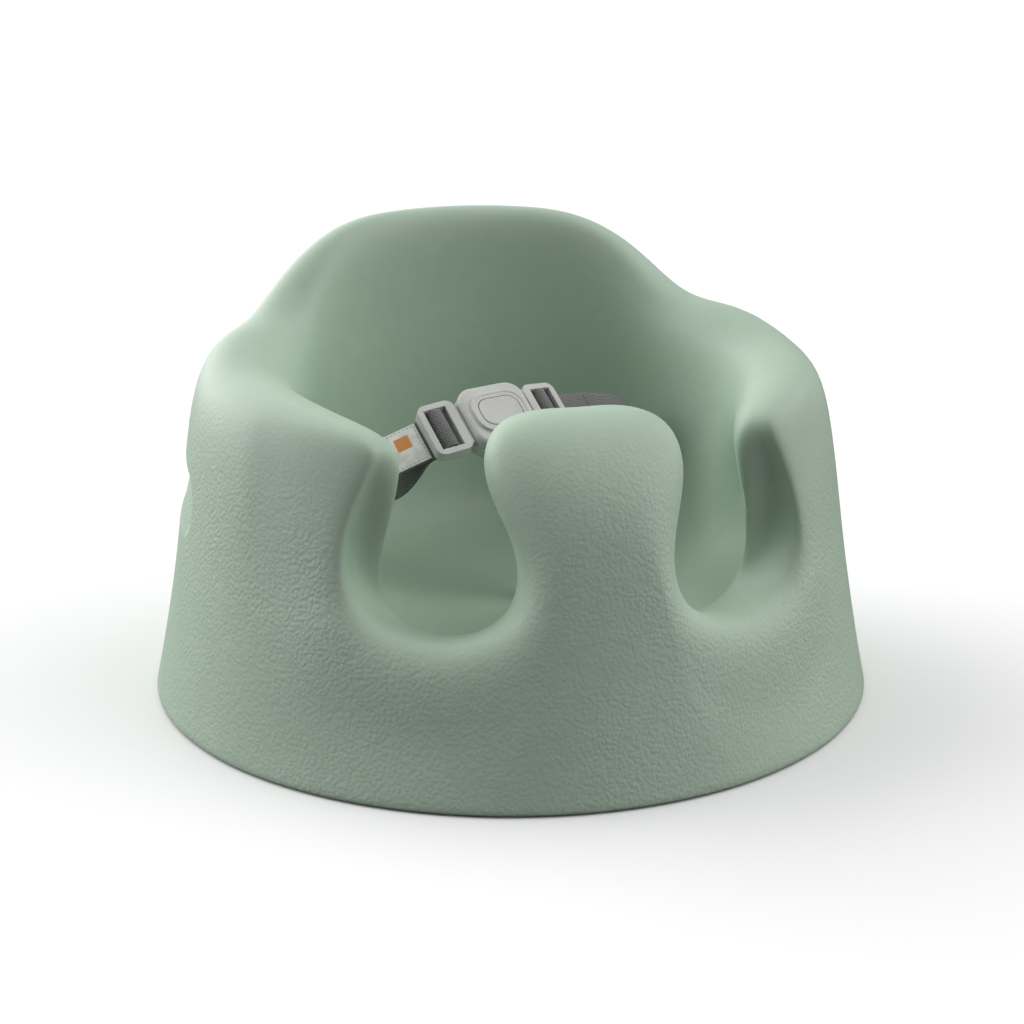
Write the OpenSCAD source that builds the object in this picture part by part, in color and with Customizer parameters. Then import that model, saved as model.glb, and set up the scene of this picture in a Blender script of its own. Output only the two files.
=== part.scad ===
// Baby floor seat: a moulded foam tub with a soft front post, two leg openings and a three-way waist harness.
// Millimetres. +Z is up, the front post faces -Y, the backrest is at +Y, the origin is the centre of the base.

/* [Foam body] */
// Diameter of the base
base_d = 380; // [360:2:400]
// Height of the backrest above the floor
back_h = 235; // [220:1:250]
// Height of the armrests beside the leg openings
arm_h = 158; // [145:1:170]
// Height of the armrests where they meet the backrest
shoulder_h = 180; // [170:1:190]
// Height of the front post
post_h = 166; // [155:1:175]
// Width of the front post at its head
post_head_w = 92; // [84:1:100]
// Width of the front post at its neck
post_neck_w = 76; // [68:1:80]
// Height of the lowest point of a leg opening
leg_h = 68; // [62:1:78]
// Outside width across the armrests
arm_outer_w = 338; // [332:2:346]
// Thickness of the armrests
arm_t = 66; // [60:1:70]
// Thickness of the armrest ends in front of the thighs
arm_end_t = 34; // [30:1:38]
// Thickness of the backrest at its top
back_t = 38; // [34:1:44]
// Thickness of the front post
post_t = 50; // [44:1:54]
// How far the backrest leans in from the base circle
back_lean = 60; // [48:1:64]
// How far the front leans in from the base circle
front_lean = 40; // [34:1:46]
// Height of the seat floor
seat_h = 58; // [52:1:62]
// Radius of the seat floor
seat_r = 88; // [82:1:92]
// Radius of the bottom edge
foot_r = 3; // [2:0.5:6]

/* [Tray grooves] */
// Depth of the groove along its top edge
groove_depth = 5; // [3:0.5:7]
// Length of the groove along the wall
groove_l = 92; // [60:1:100]
// Height of the middle of the groove above the floor
groove_mid = 112; // [104:1:118]
// Height of the groove itself
groove_h = 30; // [18:1:36]
// Slope of the groove down to the front
groove_slope = 12; // [0:1:15]
// Distance of the middle of the groove behind the middle of the seat
groove_back = 24; // [10:1:30]

/* [Webbing] */
// Width of the waist webbing
web_w = 23; // [20:1:25]
// Width of the crotch webbing
crotch_web_w = 20; // [16:1:20]
// Thickness of the webbing
web_t = 1.5; // [1.2:0.1:1.8]
// Free tail that hangs out of each adjuster
tail_l = 26; // [22:1:30]
// Length of the sewn patch on the left tail
patch_l = 20; // [14:1:22]
// Thickness of the sewn patch
patch_t = 0.6; // [0.4:0.1:0.8]

/* [Strap anchors] */
// Distance of each waist strap from the middle of the seat
anchor_x = 88; // [86:1:91]
// Distance of the waist straps behind the middle of the seat
anchor_y = 35; // [28:1:42]
// Distance of the crotch strap in front of the middle of the seat
crotch_y = 60; // [54:1:66]
// Width of the slots that the straps run in
slot_t = 5.6; // [5:0.2:7]
// Diameter of the anchor rods
rod_d = 8; // [7:0.5:9]
// Length that the anchor rods stand out past each edge of the webbing
rod_over = 8; // [6:0.5:10]
// Depth of the pockets under the base
pocket_depth = 15; // [15:0.5:20]

/* [Buckle] */
// Width of the buckle block along the belt
block_w = 38; // [34:1:42]
// Height of the buckle block across the belt
block_h = 36; // [32:1:40]
// Thickness of the front half of the block
front_t = 7; // [6.5:0.5:8]
// Thickness of the back half of the block
rear_t = 8; // [8:0.5:10]
// Corner radius of the block
block_corner = 9; // [6:0.5:11]
// Width of the oval press button
button_w = 24; // [20:1:26]
// Height of the oval press button
button_h = 17; // [14:1:18]
// How far the button travels
button_travel = 2.5; // [1.5:0.1:2.7]
// Gap between sliding pieces of the buckle
slide_gap = 0.3; // [0.2:0.05:0.4]

/* [Tongues] */
// Length of the adjuster frame along the belt
frame_l = 21.5; // [21:0.5:24]
// Thickness of the adjuster frame
frame_t = 6.4; // [5.6:0.2:7]
// Width of the rails of the adjuster frame
rail_w = 3.2; // [2.8:0.2:3.4]
// Angle that the adjuster frame leans back from the block
frame_lean = 7; // [0:1:10]
// Diameter of the bar that the webbing turns round
bar_d = 4.8; // [4:0.2:5]
// Thickness of the prongs
prong_t = 2.8; // [2.4:0.1:3]
// Length of the prongs inside the block
prong_l = 16; // [13:0.5:16.5]

/* [Hidden] */
$fn = 48;
tiny = 0.01;

base_r = base_d / 2;
sage = [0.64, 0.74, 0.66];
buckle_grey = [0.68, 0.68, 0.67];
web_grey = [0.36, 0.36, 0.37];

// ---- small helpers ----
function lerp(a, b, t) = a + (b - a) * t;
function unit(v) = v / norm(v);
function polar(a, r, z) = [r * sin(a), -r * cos(a), z];
function span_angle(x, r) = asin(x / r);

// ---- the buckle's own frame: x along the belt, y across it, z out of its face ----
buckle_at = [-13, -20, 142.5];
buckle_pitch = 50;
buckle_roll = 4;
buckle_yaw = 14;
function turn_z(p, a) = [p[0] * cos(a) - p[1] * sin(a), p[0] * sin(a) + p[1] * cos(a), p[2]];
function turn_x(p, a) = [p[0], p[1] * cos(a) - p[2] * sin(a), p[1] * sin(a) + p[2] * cos(a)];
function buckle_dir(p) = turn_z(turn_x(turn_z(p, buckle_roll), 90 - buckle_pitch), buckle_yaw);
function buckle_point(p) = buckle_at + buckle_dir(p);
module in_buckle_frame() {
    translate(buckle_at)
        rotate([90 - buckle_pitch, 0, buckle_yaw])
            rotate([0, 0, buckle_roll])
                children();
}

pocket_w = rod_d + 2 * web_t + 5;

// ---- foam body: one smooth skin, a cubic spline in both directions over a ring of stations ----
wall_h = 140;
front_reach = 220;
back_reach = 260;
wall_curve = 1.5;
crest_h = 165;
crest_lean = 0.3;
function lean(z, h, amount) = amount * (1 - pow(max(1 - z / h, 0), wall_curve));
function outer_r(a, z) =
    let (side = lean(z, wall_h, base_r - arm_outer_w / 2) + crest_lean * max(z - crest_h, 0))
    let (end = cos(a) > 0 ? lean(z, front_reach, front_lean) : lean(z, back_reach, back_lean))
    base_r - pow(sin(a), 2) * side - pow(cos(a), 2) * end;

// Each station is a rib of the tub: its angle at the base, the angle and height just below its lip,
// the angle and height of its lip, the thickness there, how far the lip sits in from the wall, how far
// down the rounding of its outer edge starts, how far its outer edge is turned and raised against the
// inner one, and how deep the face between them is hollowed. Turns and hollows are in degrees.
head_a = span_angle(post_head_w / 2, base_r - front_lean);
neck_a = span_angle(post_neck_w / 2, base_r - front_lean / 2);
stations = [
    [0, [0, post_h - 30], [0, post_h + 4.5], post_t, 12, 1, 0, 0, 0],
    [4, [3, post_h - 30], [head_a / 2, post_h + 5.5], post_t, 12, 1, 0, 0, 0],
    [8, [6, post_h - 33], [head_a + 3, post_h + 1], post_t, 10, 1, 0, 0, 0],
    [12, [8, post_h - 44], [head_a + 5, post_h - 24], post_t, 8, 1, 0, 0, 0],
    [16, [8.5, post_h - 66], [neck_a + 1, 112], post_t, 3, 0.9, 0, 0, 0],
    [20, [10, 66], [neck_a + 1, leg_h + 10], post_t, 2, 0.5, 0, 4, 0],
    [27, [26, leg_h - 30], [27, leg_h - 3], post_t, 2, 0.3, 0, 9, 0],
    [35, [47, leg_h - 20], [40, leg_h + 9], arm_end_t + 12, 2, 0.3, 1, 6, 3],
    [42, [58, leg_h + 16], [37, leg_h + 36], arm_end_t - 2, 2, 0.35, 7.5, 0, 13.5],
    [49, [62, arm_h - 52], [32, arm_h - 26], arm_end_t - 8, 2, 0.45, 9, 0, 15],
    [55, [63, arm_h - 40], [30.5, arm_h + 2], arm_end_t - 3, 0, 0.7, 4, 2, 5.5],
    [62, [66, arm_h - 36], [49, arm_h + 9], arm_t - 14, -3, 0.8, 0, 4, 0],
    [74, [74, arm_h - 46], [70, arm_h + 15], arm_t, -6, 0.75, 0, 5, 0],
    [88, [88, arm_h - 46], [88, lerp(arm_h, shoulder_h, 0.6) + 5], arm_t, -6, 0.75, 0, 5, 0],
    [104, [104, shoulder_h - 64], [104, shoulder_h + 9], arm_t, -5, 0.8, 0, 5, 0],
    [120, [120, shoulder_h - 52], [119, shoulder_h + 7], lerp(arm_t, back_t, 0.4), 2, 1, 0, 3, 0],
    [133, [133, back_h - 80], [131, back_h - 17], back_t + 4, 2, 1, 0, 0, 0],
    [148, [148, back_h - 60], [147, back_h - 1], back_t, 0, 1, 0, 0, 0],
    [164, [164, back_h - 50], [164, back_h + 1], back_t, 0, 1, 0, 0, 0],
    [180, [180, back_h - 50], [180, back_h + 2], back_t, 0, 1, 0, 0, 0]
];
half = len(stations);
// a spline runs a little inside its ring of control points, and this makes up for it
function step_cos(k) = cos(stations[k][0] - stations[k - 1][0]);
function swell(k) = 6 / (4 + step_cos(max(k, 1)) + step_cos(min(k + 1, half - 1)));

// a hollow is deepest a little outside the middle of its face: millimetres for each degree of depth
hollow_out = 0.5;
// a control point drawn a little towards its two neighbours
function eased(a, b, c) = (a + 6 * b + c) / 8;
function rib(k) =
    let (s = stations[k], grow = swell(k), rim = s[5], skew = s[6], tilt = s[7], hollow = s[8])
    let (base_a = s[0], low_a = s[1][0], low_z = s[1][1], lip_a = s[2][0], lip_z = s[2][1], t = s[3])
    let (lip_r = outer_r(lip_a, lip_z) - t / 2 - s[4])
    let (low_r = min(outer_r(low_a, low_z) - t / 2, lip_r + 22))
    let (in_z = max(low_z, seat_h + 2))
    let (a1 = lerp(base_a, low_a, 0.6), z1 = lerp(8, low_z, 0.38))
    let (a2 = lerp(base_a, low_a, 0.9), z2 = lerp(8, low_z, 0.72))
    let (rim_a = lerp(lip_a, low_a, rim), rim_z = lerp(lip_z, low_z, rim))
    let (rim_r = lerp(min(lip_r + t / 2 + s[4], outer_r(rim_a, rim_z)), low_r + t / 2, rim))
    let (rim_p = polar(rim_a, grow * rim_r, rim_z))
    let (out_p = polar(lip_a + skew, grow * (lip_r + t / 2), lip_z + tilt))
    let (in_p = polar(lip_a - skew, lip_r - t / 2, lip_z - tilt))
    let (low_p = polar(low_a, low_r - t / 2, in_z))
    [
        polar(base_a, grow * (base_r - 20), 0),
        polar(base_a, grow * (base_r - foot_r), 0),
        polar(base_a, grow * (base_r + 0.5), 0.5),
        polar(base_a, grow * outer_r(base_a, 2 + 2 * foot_r), 2 + 2 * foot_r),
        polar(a1, grow * outer_r(a1, z1), z1),
        polar(a2, grow * outer_r(a2, z2), z2),
        rim_p,
        eased(rim_p, out_p, in_p),
        polar(lip_a + hollow, lip_r + hollow_out * hollow, lip_z),
        eased(out_p, in_p, low_p),
        low_p,
        polar(lerp(base_a, low_a, 0.6), lerp(low_r - t / 2, seat_r + 4, 0.3), lerp(in_z, seat_h, 0.6)),
        polar(base_a, seat_r, seat_h + 4),
        polar(base_a, 60, seat_h - 2),
        polar(base_a, 25, seat_h - 2)
    ];
right_ribs = [for (k = [0 : half - 1]) rib(k)];
left_ribs = [for (k = [half - 2 : -1 : 1]) [for (p = right_ribs[k]) [-p[0], p[1], p[2]]]];
ribs = concat(right_ribs, left_ribs);
cols = len(ribs);
rows = len(ribs[0]);
steps = 3;

function weights(t) = [
    pow(1 - t, 3) / 6,
    (3 * t * t * t - 6 * t * t + 4) / 6,
    (-3 * t * t * t + 3 * t * t + 3 * t + 1) / 6,
    t * t * t / 6
];
function blend4(w, a, b, c, d) = w[0] * a + w[1] * b + w[2] * c + w[3] * d;
function held(i) = min(max(i, 0), rows - 1);
function up_rib(r, seg, t) =
    blend4(weights(t), r[held(seg - 2)], r[held(seg - 1)], r[held(seg)], r[held(seg + 1)]);
fine_ribs = [
    for (r = ribs)
        concat([for (seg = [0 : rows]) for (k = [0 : steps - 1]) up_rib(r, seg, k / steps)], [r[rows - 1]])
];
rings = len(fine_ribs[0]);
function round_ring(i, seg, t) =
    blend4(weights(t), fine_ribs[(seg + cols - 1) % cols][i], fine_ribs[seg % cols][i],
        fine_ribs[(seg + 1) % cols][i], fine_ribs[(seg + 2) % cols][i]);
skin_points = [
    for (i = [0 : rings - 1])
        for (seg = [0 : cols - 1])
            for (k = [0 : steps - 1]) round_ring(i, seg, k / steps)
];
around = cols * steps;
skin_faces = concat(
    [[for (j = [0 : around - 1]) j]],
    [
        for (i = [0 : rings - 2])
            for (j = [0 : around - 1])
                let (a = i * around + j, b = i * around + (j + 1) % around)
                each [[a, a + around, b], [b, a + around, b + around]]
    ],
    [[for (j = [around - 1 : -1 : 0]) (rings - 1) * around + j]]
);

// a strap slot straight down through the foam, with the pocket for its anchor rod under the base
module strap_slot(w, top) {
    translate([-slot_t / 2, -w / 2 - 1, -1])
        cube([slot_t, w + 2, top + 1]);
    translate([-pocket_w / 2, -w / 2 - rod_over - 1, -1])
        cube([pocket_w, w + 2 * rod_over + 2, pocket_depth + 1]);
}

// a shallow groove in the outside of the wall, deepest along its top edge; seen from above the wall
// bends there on a circle of its own, smaller than the base
wall_bend = 144;
skin_sink = 1;
module tray_groove(side) {
    low_z = groove_mid - groove_h / 2;
    high_z = groove_mid + groove_h / 2;
    low_x = outer_r(90, low_z) - skin_sink;
    high_x = outer_r(90, high_z) - skin_sink - groove_depth;
    slope = (low_x - high_x) / groove_h;
    axis_x = outer_r(90, groove_mid) - wall_bend;
    intersection() {
        translate([side * axis_x, 0, 0])
            rotate_extrude()
                polygon([
                    [low_x + slope * groove_h / 2 - axis_x, low_z - groove_h / 2],
                    [base_r, low_z - groove_h / 2],
                    [base_r, high_z + groove_h / 2],
                    [high_x - slope * groove_h / 2 - axis_x, high_z + groove_h / 2]
                ]);
        translate([side * base_r * 0.7, groove_back, groove_mid])
            rotate([groove_slope, 0, 0])
                rotate([0, side * 90, 0])
                    rounded_plate(groove_h, groove_l, groove_h * 0.45, base_r);
    }
}

module foam_body() {
    color(sage)
        difference() {
            polyhedron(skin_points, skin_faces, convexity = 8);
            tray_groove(-1);
            tray_groove(1);
            for (side = [-1, 1])
                translate([side * anchor_x, anchor_y, 0])
                    strap_slot(web_w, 110);
            translate([0, -crotch_y, 0])
                rotate([0, 0, 90])
                    strap_slot(crotch_web_w, 90);
        }
}

// ---- webbing: a flat ribbon swept along a route of [point, width direction] pairs ----
function along(route, i) =
    let (a = route[max(i - 1, 0)][0], b = route[min(i + 1, len(route) - 1)][0])
    unit(b - a);
function across(route, i) =
    let (t = along(route, i), d = route[i][1])
    unit(d - (d * t) * t);
function ribbon_points(route, w, t) = [
    for (i = [0 : len(route) - 1])
        let (p = route[i][0], side = across(route, i), out = cross(along(route, i), side))
        each [
            p - side * w / 2 - out * t / 2,
            p + side * w / 2 - out * t / 2,
            p + side * w / 2 + out * t / 2,
            p - side * w / 2 + out * t / 2
        ]
];
module ribbon(route, w, t) {
    n = len(route);
    polyhedron(
        ribbon_points(route, w, t),
        concat(
            [[0, 1, 2, 3]],
            [
                for (i = [0 : n - 2])
                    for (k = [0 : 3])
                        let (a = 4 * i + k, b = 4 * i + (k + 1) % 4)
                        each [[a, b + 4, b], [a, a + 4, b + 4]]
            ],
            [[4 * n - 1, 4 * n - 2, 4 * n - 3, 4 * n - 4]]
        ),
        convexity = 6
    );
}
// a smooth curve through hand-placed pairs
function through(k, t, i, j) =
    let (a = k[max(i - 1, 0)][j], b = k[i][j], c = k[i + 1][j], d = k[min(i + 2, len(k) - 1)][j])
    0.5 * (2 * b + (c - a) * t + (2 * a - 5 * b + 4 * c - d) * t * t + (3 * b - a - 3 * c + d) * t * t * t);
function smooth(k, n) = concat(
    [for (i = [0 : len(k) - 2]) for (m = [0 : n - 1]) [through(k, m / n, i, 0), through(k, m / n, i, 1)]],
    [k[len(k) - 1]]
);
function arc(centre, r, from, to, step) = [
    for (a = [0 : 1 : round(abs(to - from) / step)])
        let (q = lerp(from, to, a / round(abs(to - from) / step)))
        centre + r * [cos(q), sin(q)]
];

// the sewn loop round an anchor rod, in a plane of its own: inwards, up
rod_gap = 0.1;
loop_r = rod_d / 2 + web_t / 2 + rod_gap;
rod_z = pocket_depth - rod_d / 2 - web_t - 2.5;
ply = web_t / 2 + 0.1;
anchor_loop = concat(
    [[-ply, pocket_depth + 18], [-ply, pocket_depth + 2]],
    arc([0, rod_z], loop_r, 140, 400, 20),
    [[ply, pocket_depth + 2], [ply, pocket_depth + 18]]
);
function waist_anchor(side, p) = [side * (anchor_x - p[0]), anchor_y, p[1]];
function crotch_anchor(p) = [0, -(crotch_y - p[0]), p[1]];

// ---- sizes of the buckle that several pieces share ----
parting = -0.1;
frame_h = web_w + 1.4 + 2 * rail_w;
frame_in = block_w / 2 + slide_gap;
frame_out = frame_in + frame_l;
neck_l = 1.4;
land_w = 6;
window_in = frame_in + land_w;
window_out = frame_out - rail_w;
bar_x = (window_in + window_out) / 2;
prong_z = parting - prong_t / 2 - slide_gap;
prong_in = 4.9;
prong_out = 9.6;
throat_h = 2 * (prong_out + slide_gap);
throat_t = prong_t + 2 * slide_gap;
button_top = front_t + 0.7;
flange_t = 1.2;
flange_over = 1.2;
flange_z = parting + button_travel + slide_gap;
stem_d = 3.4;
collar_d = 7;
spring_seat = parting;
spring_floor = 1.4 - rear_t;
ring_bar_d = 3.2;
ring_y = -(block_h / 2 + 6);
ring_z = -5.2;
ring_arm_w = 3.4;
ring_arm_t = 3.6;

// webbing through an adjuster, in the buckle's frame: along the belt (outwards), out of the face
tail_z = -(frame_t / 2 + web_t / 2 + 0.25);
load_z = tail_z - web_t - 0.2;
wrap_r = bar_d / 2 + web_t / 2 + 0.15;
tail_from = frame_out + 0.8;
left_drop = 62;
left_droop = 19;
right_drop = 0;
right_droop = 0;
function adjuster_load(drop) = [
    [tail_from + 8 * cos(drop), load_z - 0.6 - 8 * sin(drop)],
    [tail_from - 0.5, load_z - 0.4],
    [bar_x + 4, load_z],
    [bar_x - 0.5, load_z],
    [bar_x - 3.7, load_z + 1.7]
];
adjuster_wrap = arc([bar_x, 0], wrap_r, 215, -20, 25);
function adjuster_tail(droop) = [
    [bar_x + 4.5, tail_z + 0.4],
    [window_out + 0.6, tail_z],
    [tail_from, tail_z - 0.3],
    [tail_from + tail_l * cos(droop), tail_z - 0.3 - tail_l * sin(droop)]
];
function leaned(p) =
    let (d = p[0] - frame_in)
    [frame_in + d * cos(frame_lean) + p[1] * sin(frame_lean), p[1] * cos(frame_lean) - d * sin(frame_lean)];
function belt_point(side, p) = let (q = leaned(p)) buckle_point([side * q[0], 0, q[1]]);
belt_across = buckle_dir([0, 1, 0]);
function belt_route(side, list) = [for (p = list) [belt_point(side, p), belt_across]];

// the free run of each waist strap, from its slot in the seat to its adjuster
free_left = [
    [[-(anchor_x - 1.5), anchor_y - 2, 80], [0, 1, 0]],
    [[-(anchor_x - 6), anchor_y - 13, 94], [0, 1, 0.2]],
    [[-(anchor_x - 13), anchor_y - 31, 105], [-0.1, 0.9, 0.4]],
    [[-65, -18, 115.5], [-0.2, 0.75, 0.6]]
];
free_right = [
    [[anchor_x - 1.5, anchor_y - 1, 80], [0, 1, 0]],
    [[anchor_x - 3, anchor_y - 4, 103], [0, 1, 0.1]],
    [[anchor_x - 9, anchor_y - 13, 123], [-0.1, 0.9, 0.35]],
    [[70, 13, 134.5], [-0.1, 0.85, 0.45]],
    [[56, 7, 137.5], [-0.1, 0.8, 0.5]]
];
function waist_route(side, free, drop, droop) =
    let (loop = [for (p = anchor_loop) [waist_anchor(side, p), [0, 1, 0]]])
    let (rise = [[waist_anchor(side, [ply, 60]), [0, 1, 0]]])
    let (load = belt_route(side, adjuster_load(drop)))
    concat(
        [for (i = [0 : len(loop) - 2]) loop[i]],
        smooth(concat([loop[len(loop) - 1]], rise, free, load), 3),
        belt_route(side, adjuster_wrap),
        belt_route(side, adjuster_tail(droop))
    );
module waist_strap(side, free, drop, droop) {
    color(web_grey)
        ribbon(waist_route(side, free, drop, droop), web_w, web_t);
}

// the crotch strap: a sewn loop on the buckle's ring, and a sewn loop on its rod
ring_r = ring_bar_d / 2 + web_t / 2 + 0.15;
hang = 203;
ring_centre = [ring_y, ring_z];
hang_dir = [cos(hang), sin(hang)];
hang_side = [-sin(hang), cos(hang)];
ring_loop = concat(
    [ring_centre + hang_dir * 15 - hang_side * ply],
    [ring_centre + hang_dir * 6 - hang_side * (ply + 0.3)],
    arc(ring_centre, ring_r, hang + 282, hang + 78, 20),
    [ring_centre + hang_dir * 6 + hang_side * (ply + 0.3)],
    [ring_centre + hang_dir * 15 + hang_side * ply]
);
crotch_free = [
    [[0, -58, 76], [1, 0, 0]],
    [[-2, -50, 98], [1, 0, 0]]
];
function ring_point(p) = buckle_point([0, p[0], p[1]]);
crotch_route =
    let (loop = [for (p = anchor_loop) [crotch_anchor(p), [1, 0, 0]]])
    let (ring = [for (p = ring_loop) [ring_point(p), buckle_dir([1, 0, 0])]])
    let (count = len(ring))
    concat(
        [for (i = [0 : len(loop) - 2]) loop[i]],
        smooth(concat([loop[len(loop) - 1]], [[crotch_anchor([ply, 52]), [1, 0, 0]]], crotch_free, [ring[count - 1]]), 4),
        [for (i = [count - 2 : -1 : 0]) ring[i]]
    );
module crotch_strap() {
    color(web_grey)
        ribbon(crotch_route, crotch_web_w, web_t);
}

module anchor_rod(w) {
    color([0.75, 0.75, 0.74])
        rotate([90, 0, 0])
            cylinder(d = rod_d, h = w + 2 * rod_over, center = true);
}

// ---- buckle block ----
module rounded_plate(w, h, r, t) {
    linear_extrude(t) {
        square([w, h - 2 * r], center = true);
        square([w - 2 * r, h], center = true);
        for (x = [-1, 1])
            for (y = [-1, 1])
                translate([x * (w / 2 - r), y * (h / 2 - r)])
                    circle(r);
    }
}
module oval(w, h, t) {
    linear_extrude(t) {
        square([w - h, h], center = true);
        for (x = [-1, 1])
            translate([x * (w - h) / 2, 0])
                circle(d = h);
    }
}
module tongue_throats() {
    translate([-block_w / 2 - 1, -throat_h / 2, prong_z - throat_t / 2])
        cube([block_w + 2, throat_h, throat_t + 1]);
}

module buckle_front_shell() {
    color(buckle_grey)
        in_buckle_frame()
            difference() {
                union() {
                    translate([0, 0, parting])
                        rounded_plate(block_w, block_h, block_corner, front_t - 1.6 - parting);
                    translate([0, 0, front_t - 1.6 - tiny])
                        rounded_plate(block_w - 3, block_h - 3, block_corner - 1, 1 + tiny);
                    translate([0, 0, front_t - 1])
                        oval(button_w + 6, button_h + 6, 1.8);
                }
                translate([0, 0, parting - 1])
                    oval(button_w, button_h, front_t + 4);
                translate([0, 0, parting - 1])
                    oval(button_w + 2 * flange_over + 2 * slide_gap, button_h + 2 * flange_over + 2 * slide_gap,
                        1 + button_travel + 2 * slide_gap + flange_t);
            }
}

module buckle_back_shell() {
    color(buckle_grey)
        in_buckle_frame()
            difference() {
                union() {
                    translate([0, 0, 1 - rear_t])
                        rounded_plate(block_w, block_h, block_corner, rear_t - 1 + parting);
                    translate([0, 0, -rear_t])
                        rounded_plate(block_w - 3, block_h - 3, block_corner - 1, 1 + tiny);
                    crotch_ring();
                }
                tongue_throats();
                translate([0, 0, spring_floor])
                    cylinder(d = collar_d + 1, h = rear_t);
            }
}
module crotch_ring() {
    inside_w = crotch_web_w + 1.6;
    for (x = [-1, 1])
        translate([x * (inside_w + ring_arm_w) / 2 - ring_arm_w / 2, ring_y - ring_bar_d / 2, ring_z - ring_arm_t / 2])
            cube([ring_arm_w, ring_bar_d / 2 - ring_y, ring_arm_t]);
    translate([0, ring_y, ring_z])
        rotate([0, 90, 0])
            cylinder(d = ring_bar_d, h = inside_w + ring_arm_w, center = true);
}

module release_button() {
    color(buckle_grey)
        in_buckle_frame() {
            translate([0, 0, flange_z + flange_t - tiny])
                oval(button_w - 2 * slide_gap, button_h - 2 * slide_gap, button_top - flange_z - flange_t - 1 + tiny);
            translate([0, 0, button_top - 1 - tiny])
                oval(button_w - 2 * slide_gap - 1.6, button_h - 2 * slide_gap - 1.6, 1 + tiny);
            translate([0, 0, flange_z])
                oval(button_w + 2 * flange_over, button_h + 2 * flange_over, flange_t);
            translate([0, 0, spring_seat])
                cylinder(d = collar_d, h = flange_z - spring_seat + tiny);
            translate([0, 0, spring_floor + button_travel + 0.6])
                cylinder(d = stem_d, h = -spring_floor + spring_seat - button_travel - 0.6 + tiny);
        }
}

// a compression spring between the back shell and the button
wire_d = 0.7;
coil_r = 2.5;
coil_turns = 4.5;
coil_steps = 12;
spring_l = spring_seat - spring_floor;
coil_count = floor(coil_turns * coil_steps);
coil_pitch = (spring_l - wire_d - 0.1) / coil_turns;
function coil_point(i) =
    let (a = 360 * i / coil_steps)
    [coil_r * cos(a), coil_r * sin(a), spring_floor + 0.05 + wire_d / 2 + coil_pitch * i / coil_steps];
module button_spring() {
    sides = 6;
    points = [
        for (i = [0 : coil_count])
            let (a = 360 * i / coil_steps, out = [cos(a), sin(a), 0])
            for (k = [0 : sides - 1])
                coil_point(i) + wire_d / 2 * (cos(60 * k) * out + sin(60 * k) * [0, 0, 1])
    ];
    color("silver")
        in_buckle_frame()
            polyhedron(
                points,
                concat(
                    [[for (k = [sides - 1 : -1 : 0]) k]],
                    [
                        for (i = [0 : coil_count - 1])
                            for (k = [0 : sides - 1])
                                let (a = sides * i + k, b = sides * i + (k + 1) % sides)
                                each [[a, b, a + sides], [b, b + sides, a + sides]]
                    ],
                    [[for (k = [0 : sides - 1]) sides * coil_count + k]]
                ),
                convexity = 8
            );
}

// ---- tongues: an adjuster frame with its bar, and two prongs that go into the block ----
module adjuster_frame() {
    difference() {
        translate([neck_l + (frame_l - neck_l) / 2, 0, -frame_t / 2])
            rounded_plate(frame_l - neck_l, frame_h, 4.5, frame_t);
        translate([window_in - frame_in, -web_w / 2 - 0.7, -frame_t])
            cube([window_out - window_in, web_w + 1.4, 2 * frame_t]);
    }
    translate([bar_x - frame_in, 0, 0])
        rotate([90, 0, 0])
            cylinder(d = bar_d, h = frame_h - rail_w, center = true);
}
module tongue() {
    translate([frame_in, 0, 0])
        rotate([0, frame_lean, 0])
            adjuster_frame();
    translate([frame_in, -frame_h / 2 + 3.5, prong_z - prong_t / 2])
        cube([neck_l + 2, frame_h - 7, frame_t / 2 - prong_z + prong_t / 2 - 1.2]);
    for (y = [-1, 1]) {
        translate([frame_in - prong_l, y > 0 ? prong_in : -prong_out, prong_z - prong_t / 2])
            cube([prong_l + 1, prong_out - prong_in, prong_t]);
        translate([frame_in - prong_l, y * (prong_in + prong_out) / 2, prong_z - prong_t / 2])
            cylinder(d = prong_out - prong_in, h = prong_t);
    }
}
module tongue_at(side) {
    color(buckle_grey)
        in_buckle_frame()
            mirror([side < 0 ? 1 : 0, 0, 0])
                tongue();
}

// a blank white patch sewn on the left tail
patch_gap = 0.2;
module sewn_patch() {
    tail = leaned([tail_from, tail_z - 0.3]);
    color("white")
        in_buckle_frame()
            translate([-tail[0], 0, tail[1]])
                rotate([0, -left_droop - frame_lean, 0])
                    translate([-patch_l - patch_gap, 0.5 - web_w / 2, web_t / 2 + 0.05])
                        cube([patch_l, web_w - 1, patch_t]);
}

module waist_strap_left() waist_strap(-1, free_left, left_drop, left_droop);
module waist_strap_right() waist_strap(1, free_right, right_drop, right_droop);
module anchor_rod_left() translate([-anchor_x, anchor_y, rod_z]) anchor_rod(web_w);
module anchor_rod_right() translate([anchor_x, anchor_y, rod_z]) anchor_rod(web_w);
module anchor_rod_crotch() translate([0, -crotch_y, rod_z]) rotate([0, 0, 90]) anchor_rod(crotch_web_w);
module tongue_left() tongue_at(-1);
module tongue_right() tongue_at(1);

foam_body();
waist_strap_left();
waist_strap_right();
crotch_strap();
anchor_rod_left();
anchor_rod_right();
anchor_rod_crotch();
buckle_front_shell();
buckle_back_shell();
release_button();
button_spring();
tongue_left();
tongue_right();
sewn_patch();
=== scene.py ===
# %% [markdown]
# # A baby floor seat: a moulded foam tub with a three-way waist harness
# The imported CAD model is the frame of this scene. It says where every piece sits and what moves.
# Each visible piece is then modelled here with its real roundings, seams and surface, and takes the
# place of the plain CAD solid. Lengths below are written in millimetres, as the CAD has them, and
# are turned into metres when a mesh is made.

# %% Load the frame
import math

import bmesh
import bpy
from mathutils import Matrix, Vector


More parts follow.
